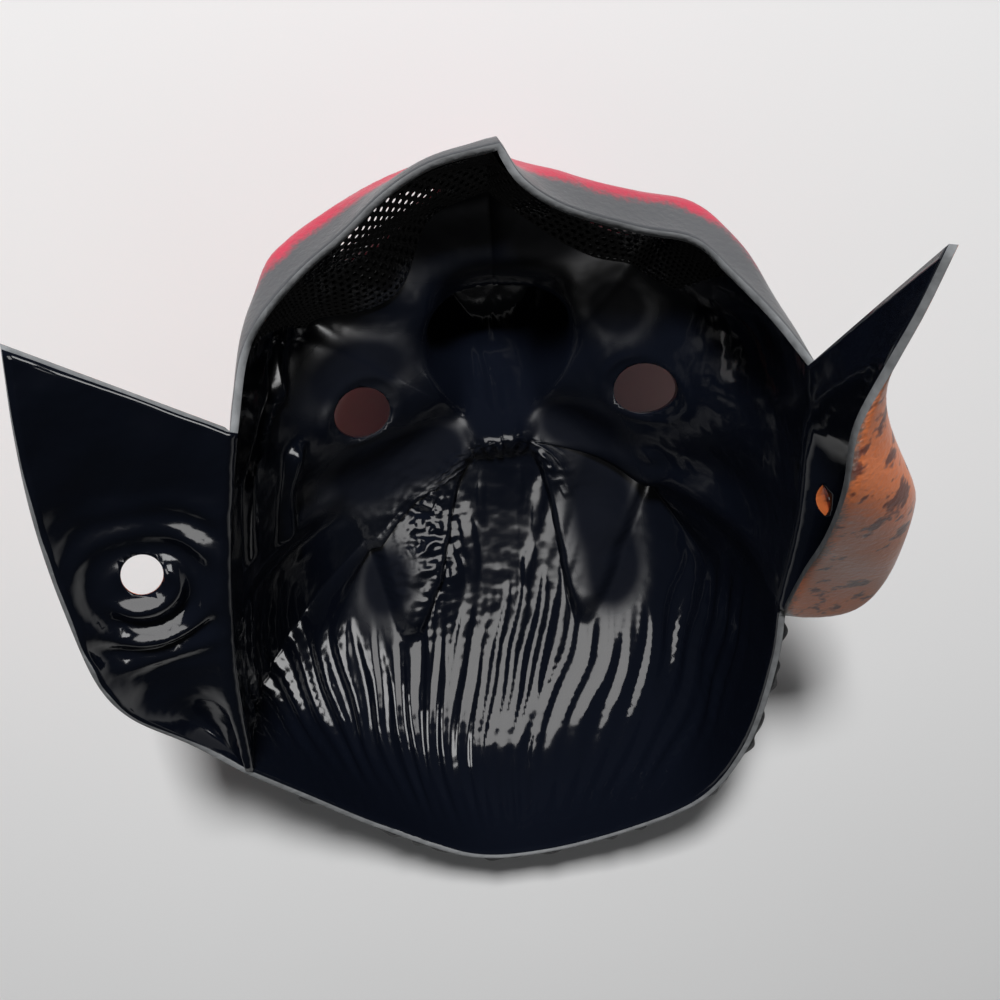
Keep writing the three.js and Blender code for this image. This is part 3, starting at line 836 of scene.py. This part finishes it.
def face_painted_shade(side, y):
    """Painted shade: dark paint round the eyes, at the nostrils and below the cheekbones, in the recesses
    where shade falls.
    """
    eye_distance = np.hypot(side - EYE["x"], y - EYE["y"])
    sockets = 1 - rise(EYE_PAINTED_SHADE["fade"], eye_distance / EYE_PAINTED_SHADE["radius"])
    nostril_along = (y - NOSTRIL["y"] - NOSTRIL_PAINTED_SHADE["drop"]) / NOSTRIL_PAINTED_SHADE["radius"]
    nostrils = bump((side - NOSTRIL["x"]) / NOSTRIL_PAINTED_SHADE["radius"], nostril_along)
    return np.maximum.reduce([sockets, nostrils, mound(CHEEK_PAINTED_SHADE, side, y)])


def brow_paint(side, y):
    ends = rise(BROW_PAINT["inner_end"], side) * (1 - rise(BROW_PAINT["outer_end"], side))
    return bump((y - brow_line(side) + BROW_PAINT["lift"]) / BROW_PAINT["half_width"]) * ends


def lip_paint(side, y):
    along = y - LIP_PAINT["y"] + lip_droop(side) * LIP_PAINT["droop_share"]
    return bump(along / LIP_PAINT["half_width"]) * (1 - rise(LIP_PAINT["end"], side))


def paint_marks(skin, on_border):
    """What the materials read at each point: the distance to the cut edge, and shares between 0 and 1."""
    x, y = skin.points[:, 0], skin.points[:, 1]
    side = x - middle_line(y)
    on_face = skin.marks["ear"] == 0
    dull = sum(bump((side - across) / wide, (y - along) / long) for across, along, wide, long in DULL_SPOTS)
    return {
        "from_edge": distance_to_edge(skin, on_border),
        "ear": 1.0 - on_face,
        "hair": on_face * rise(HAIR_PAINT_START, hair_depth(side, y)),
        "dull": np.clip(DULL_STRENGTH * dull, 0, 1),
        "crumple": mound(CRUMPLE, side, y),
        # Painted shade in the recesses round the eyes, at the nostrils and below the cheekbones
        "painted_shade": on_face * face_painted_shade(np.abs(side), y),
        "brow": on_face * brow_paint(np.abs(side), y),
        "lips": on_face * lip_paint(np.abs(side), y),
    }


def write_marks(mesh, points, values):
    """Gives each point of the cut mesh the marks of the nearest point before the cut."""
    tree = tree_of(points)
    nearest = np.array([tree.find(vertex.co)[1] for vertex in mesh.vertices])
    for name, value in values.items():
        layer = mesh.attributes.new(name, "FLOAT", "POINT")
        layer.data.foreach_set("value", value[nearest].astype(np.float32))


def build_wall(skin):
    """Points, faces and material numbers of the closed wall, and the numbers of the skin's border points."""
    normals = vertex_normals(skin.points, skin.quads)
    outer_height = WALL / 2 + outside_relief(skin.points, skin.marks)
    inner_height = WALL / 2 + inside_relief(skin.points, skin.marks)
    inner_height += ear_folds(skin.points, skin.marks, left_hole_middle())
    outer = press_flat(skin.points + normals * outer_height[:, None], REST_LEVEL)
    inner = press_flat(skin.points - normals * inner_height[:, None], REST_LEVEL + THINNEST_WALL)
    count = len(outer)
    outer_faces = without_repeats(skin.quads)
    inner_faces = without_repeats(skin.quads[:, ::-1] + count)
    border = border_edges(skin.quads)
    on_border = sorted({number for edge in border for number in edge})
    painted = {number: 2 * count + place for place, number in enumerate(on_border)}
    painted_line = skin.points[on_border] + normals[on_border] * (WALL / 2 - PAINT_ROUND_EDGE)
    edge_faces = [[b, a, painted[a], painted[b]] for a, b in border]
    edge_faces += [[painted[b], painted[a], a + count, b + count] for a, b in border]
    numbers = [OUTSIDE] * len(outer_faces) + [INSIDE] * len(inner_faces)
    numbers += [OUTSIDE] * len(border) + [CUT_EDGE] * len(border)
    return np.vstack([outer, inner, painted_line]), outer_faces + inner_faces + edge_faces, numbers, on_border


def build_shell():
    skin = build_skin()
    points, faces, numbers, on_border = build_wall(skin)
    shell = new_object("mask_shell_vinyl", points, faces, VINYLS, numbers)
    cut(shell, make_punches())
    marks = paint_marks(skin, on_border)
    everywhere = {name: np.concatenate([value, value, value[on_border]]) for name, value in marks.items()}
    write_marks(shell.data, place_in_frame(points), everywhere)
    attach(shell, "root")
    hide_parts("mask_shell")


def build_net():
    """A strip of perforated net, a little inside the wall, in rows of bricks with a round hole in each."""
    half_steps = 2 * NET_COLUMNS + 2
    span = NET["half_span"]
    across_step = 2 * span / half_steps
    out_step = (NET["outer_part"] - NET["inner_part"]) / NET_ROWS
    flat_points, faces = [], []

    def add(points):
        flat_points.extend(points)
        return list(range(len(flat_points) - len(points), len(flat_points)))

    line_out = [NET["inner_part"] + row * out_step for row in range(NET_ROWS + 1)]
    across = [-span + step * across_step for step in range(half_steps + 1)]
    lines = [add([(step, out) for step in across]) for out in line_out]
    angles = np.radians(np.arange(NET_HOLE_SIDES) * 360 / NET_HOLE_SIDES + NET_HOLE_START)
    radius_out = NET_HOLE_SHARE * out_step / 2
    radius_across = NET_HOLE_SHARE * across_step
    for row in range(NET_ROWS):
        first = row % 2
        middle_out = line_out[row] + out_step / 2
        sides = add([(across[first + 2 * column], middle_out) for column in range(NET_COLUMNS + 1)])
        for column in range(NET_COLUMNS):
            start = first + 2 * column
            low, high = lines[row], lines[row + 1]
            rim = [low[start], low[start + 1], low[start + 2], sides[column + 1]]
            rim += [high[start + 2], high[start + 1], high[start], sides[column]]
            around = across[start + 1] + radius_across * np.cos(angles)
            hole = add(list(zip(around, middle_out + radius_out * np.sin(angles))))
            next_ones = zip(hole[1:] + hole[:1], rim[1:] + rim[:1])
            faces += [[outer, inner, *after] for outer, inner, after in zip(rim, hole, next_ones)]
    flat_points = np.array(flat_points)
    faces = np.array(faces)
    used, numbers = np.unique(faces, return_inverse=True)
    faces = numbers.reshape(faces.shape)
    return flat_points[used], faces


def build_net_piece():
    flat, faces = build_net()
    across, out = flat[:, 0], flat[:, 1]
    on_right = skin_points("right_jaw", np.maximum(across, 0), out)
    on_left = skin_points("left_jaw", np.minimum(1 + across, 1), out)
    sheet = np.where(across[:, None] < 0, on_left, on_right)
    normals = vertex_normals(sheet, faces)
    front = sheet - normals * (WALL / 2 + NET["gap"])
    back = front - normals * NET["thickness"]
    count = len(sheet)
    sides = [[b, a, a + count, b + count] for a, b in border_edges(faces)]
    all_faces = faces.tolist() + (faces[:, ::-1] + count).tolist() + sides
    points = np.vstack([front, back])
    net = new_object("mouth_net_mesh", points, all_faces, [net_black()], [0] * len(all_faces))
    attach(net, "root")
    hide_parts("mouth_net")


# Materials

class Nodes:
    """Short names for the nodes that the materials here are made of."""

    def __init__(self, name):
        self.material = bpy.data.materials.new(name)
        self.material.use_nodes = True
        self.tree = self.material.node_tree
        self.shader = self.tree.nodes["Principled BSDF"]

    def new(self, kind):
        return self.tree.nodes.new("ShaderNode" + kind)

    def link(self, value, socket):
        if isinstance(value, bpy.types.NodeSocket):
            self.tree.links.new(value, socket)
        else:
            socket.default_value = value

    def put(self, name, value):
        self.link(value, self.shader.inputs[name])

    def mark(self, name):
        node = self.new("Attribute")
        node.attribute_name = name
        return node.outputs["Fac"]

    def math(self, operation, *values):
        node = self.new("Math")
        node.operation = operation
        for value, socket in zip(values, node.inputs):
            self.link(value, socket)
        return node.outputs[0]

    def span(self, value, low, high, start=0.0, end=1.0):
        node = self.new("MapRange")
        node.interpolation_type = "SMOOTHSTEP"
        names = ("Value", "From Min", "From Max", "To Min", "To Max")
        for number, name in zip((value, low, high, start, end), names):
            self.link(number, node.inputs[name])
        return node.outputs[0]

    def mix(self, share, first, second):
        node = self.new("Mix")
        node.data_type = "RGBA"
        self.link(share, node.inputs["Factor"])
        for value, name in ((first, "A"), (second, "B")):
            socket = [each for each in node.inputs if each.name == name and each.type == "RGBA"][0]
            self.link(value if isinstance(value, bpy.types.NodeSocket) else (*value, 1), socket)
        return [each for each in node.outputs if each.type == "RGBA"][0]

    def noise(self, vector, scale, detail=2.0, roughness=0.5):
        node = self.new("TexNoise")
        values = {"Vector": vector, "Scale": scale, "Detail": detail, "Roughness": roughness}
        for name, value in values.items():
            self.link(value, node.inputs[name])
        return node.outputs["Fac"]

    def objects_place(self):
        return self.new("TexCoord").outputs["Object"]

    def bump(self, height, distance, normal=None):
        node = self.new("Bump")
        self.link(distance, node.inputs["Distance"])
        self.link(height, node.inputs["Height"])
        if normal:
            self.link(normal, node.inputs["Normal"])
        return node.outputs[0]


def vinyl_inside():
    """Unpainted side: dark, smooth and glossy."""
    nodes = Nodes("vinyl_inside")
    metres = nodes.objects_place()
    nodes.put("Base Color", (*COLOUR["inside"], 1))
    polish = nodes.span(nodes.noise(metres, scale=60), low=0.3, high=0.7, start=0.08, end=0.13)
    dullness = nodes.math("MULTIPLY", nodes.mark("dull"), DULL_ROUGHNESS)
    nodes.put("Roughness", nodes.math("ADD", polish, dullness))
    shine = nodes.span(nodes.mark("dull"), low=0.2, high=0.9, start=0.5, end=0.06)
    nodes.put("Specular IOR Level", shine)
    web = nodes.math("MULTIPLY", nodes.noise(metres, scale=180, detail=1.0), nodes.mark("crumple"))
    soft = nodes.bump(nodes.noise(metres, scale=160, detail=1.0), distance=0.00025)
    nodes.put("Normal", nodes.bump(web, distance=0.0028, normal=soft))
    return nodes.material


def uneven_distance(nodes, metres, cloud):
    """Distance from the cut edge in millimetres, made uneven by clouds and specks."""
    speckle = nodes.noise(metres, scale=900, detail=1.0)
    clouds = nodes.math("SUBTRACT", cloud, 0.5)
    specks = nodes.math("SUBTRACT", speckle, 0.5)
    distance = nodes.math("MULTIPLY_ADD", clouds, EDGE_FADE["cloud"], nodes.mark("from_edge"))
    return nodes.math("MULTIPLY_ADD", specks, EDGE_FADE["speckle"], distance)


def skin_paint(nodes, cloud, from_edge):
    """Crimson with dark lips, painted shade in the recesses, black brows, and black in the hair."""
    red = nodes.mix(cloud, *COLOUR["red"])
    red = nodes.mix(nodes.math("MULTIPLY", nodes.mark("lips"), COVER["lips"]), red, COLOUR["lips"])
    # Painted shade laid over the red in the recesses of the face
    red = nodes.mix(nodes.math("MULTIPLY", nodes.mark("painted_shade"), COVER["painted_shade"]), red, COLOUR["painted_shade"])
    red = nodes.mix(nodes.span(nodes.mark("brow"), low=0.25, high=0.8), red, COLOUR["brow"])
    red = nodes.mix(nodes.span(from_edge, *EDGE_FADE["face"]), COLOUR["bare_face"], red)
    black = nodes.mix(nodes.span(cloud, low=0.45, high=0.75), *COLOUR["hair"])
    return nodes.mix(nodes.mark("hair"), red, black)


def ear_paint(nodes, metres, cloud, from_edge):
    """Orange with dark blotches."""
    orange = nodes.mix(cloud, *COLOUR["ear"])
    blotches = nodes.noise(metres, scale=110, detail=3.0, roughness=0.6)
    blotches = nodes.math("MULTIPLY", nodes.span(blotches, low=0.54, high=0.62), COVER["blotch"])
    orange = nodes.mix(blotches, orange, COLOUR["blotch"])
    return nodes.mix(nodes.span(from_edge, *EDGE_FADE["ear"]), COLOUR["bare_ear"], orange)


def vinyl_outside():
    """Painted side, which fades to bare grey at the cut edge."""
    nodes = Nodes("vinyl_outside")
    metres = nodes.objects_place()
    cloud = nodes.noise(metres, scale=55, detail=3.0)
    from_edge = uneven_distance(nodes, metres, cloud)
    skin = skin_paint(nodes, cloud, from_edge)
    ears = ear_paint(nodes, metres, cloud, from_edge)
    nodes.put("Base Color", nodes.mix(nodes.mark("ear"), skin, ears))
    nodes.put("Roughness", nodes.span(cloud, low=0.3, high=0.7, start=0.28, end=0.42))
    nodes.put("Normal", nodes.bump(nodes.noise(metres, scale=700), distance=0.0002))
    return nodes.material


def vinyl_cut_edge():
    """Where the vinyl was trimmed: bare, matt and a little uneven."""
    nodes = Nodes("vinyl_cut_edge")
    cloud = nodes.noise(nodes.objects_place(), scale=250, detail=3.0)
    nodes.put("Base Color", nodes.mix(cloud, *COLOUR["cut_edge"]))
    nodes.put("Roughness", 0.55)
    nodes.put("Normal", nodes.bump(cloud, distance=0.0004))
    return nodes.material


def net_black():
    """Black net with a sheen of dried glue in patches."""
    nodes = Nodes("net_black")
    metres = nodes.objects_place()
    glue = nodes.span(nodes.noise(metres, scale=70), low=0.5, high=0.62)
    nodes.put("Base Color", nodes.mix(glue, *COLOUR["net"]))
    nodes.put("Roughness", nodes.span(glue, low=0.0, high=1.0, start=0.75, end=0.3))
    nodes.put("Specular IOR Level", 0.12)
    nodes.put("Normal", nodes.bump(nodes.noise(metres, scale=1500), distance=0.0006))
    return nodes.material


def table_white():
    nodes = Nodes("table_white")
    cloud = nodes.noise(nodes.objects_place(), scale=6, detail=3.0)
    nodes.put("Base Color", nodes.mix(cloud, *COLOUR["table"]))
    nodes.put("Roughness", 0.6)
    return nodes.material


# Camera, light and table

def add_camera():
    tilt, turn, roll = CAMERA["tilt"], CAMERA["turn"], CAMERA["roll"]
    back = np.array([np.sin(turn) * np.cos(tilt), np.sin(tilt), np.cos(turn) * np.cos(tilt)])
    level = np.array([np.cos(turn), 0, -np.sin(turn)])
    upright = np.cross(back, level)
    right = np.cos(roll) * level + np.sin(roll) * upright
    up = np.cos(roll) * upright - np.sin(roll) * level
    place = place_in_frame(np.array(CAMERA["aim"]) + back * CAMERA["distance"])
    origin = place_in_frame((0, 0, 0))
    axes = [(place_in_frame(axis) - origin) / MM for axis in (right, up, back)]
    lens_data = bpy.data.cameras.new("camera")
    lens_data.sensor_width = CAMERA["sensor"]
    lens_data.lens = CAMERA["focal"] * CAMERA["sensor"]
    camera = add_object("camera", lens_data)
    camera.matrix_world = Matrix.Translation(Vector(place)) @ Matrix(axes).transposed().to_4x4()
    bpy.context.scene.camera = camera


def add_area_light(name, place, aim, size, power, colour=(1, 1, 1), seen_in_gloss=True, lights_colours=True):
    light = bpy.data.lights.new(name, "AREA")
    light.shape = "RECTANGLE"
    light.size, light.size_y = size
    light.energy = power
    light.color = colour
    lamp = add_object(name, light)
    lamp.location = place
    lamp.rotation_euler = (Vector(aim) - Vector(place)).to_track_quat("-Z", "Y").to_euler()
    lamp.visible_glossy = seen_in_gloss
    lamp.visible_diffuse = lights_colours


def add_table():
    half = TABLE_SIDE / 2
    mesh = bpy.data.meshes.new("table")
    corners = [(-half, -half, 0), (half, -half, 0), (half, half, 0), (-half, half, 0)]
    mesh.from_pydata(corners, [], [(0, 1, 2, 3)])
    mesh.materials.append(table_white())
    table = add_object("table", mesh)


def add_world():
    world = bpy.data.worlds.new("studio")
    world.use_nodes = True
    background = world.node_tree.nodes["Background"]
    background.inputs["Color"].default_value = WORLD["colour"]
    background.inputs["Strength"].default_value = WORLD["strength"]
    bpy.context.scene.world = world


VINYLS = [vinyl_inside(), vinyl_outside(), vinyl_cut_edge()]

bpy.context.scene.view_settings.view_transform = "Standard"
add_camera()
build_shell()
build_net_piece()
add_table()
add_world()
for name, settings in LIGHTS.items():
    add_area_light(name, **settings)
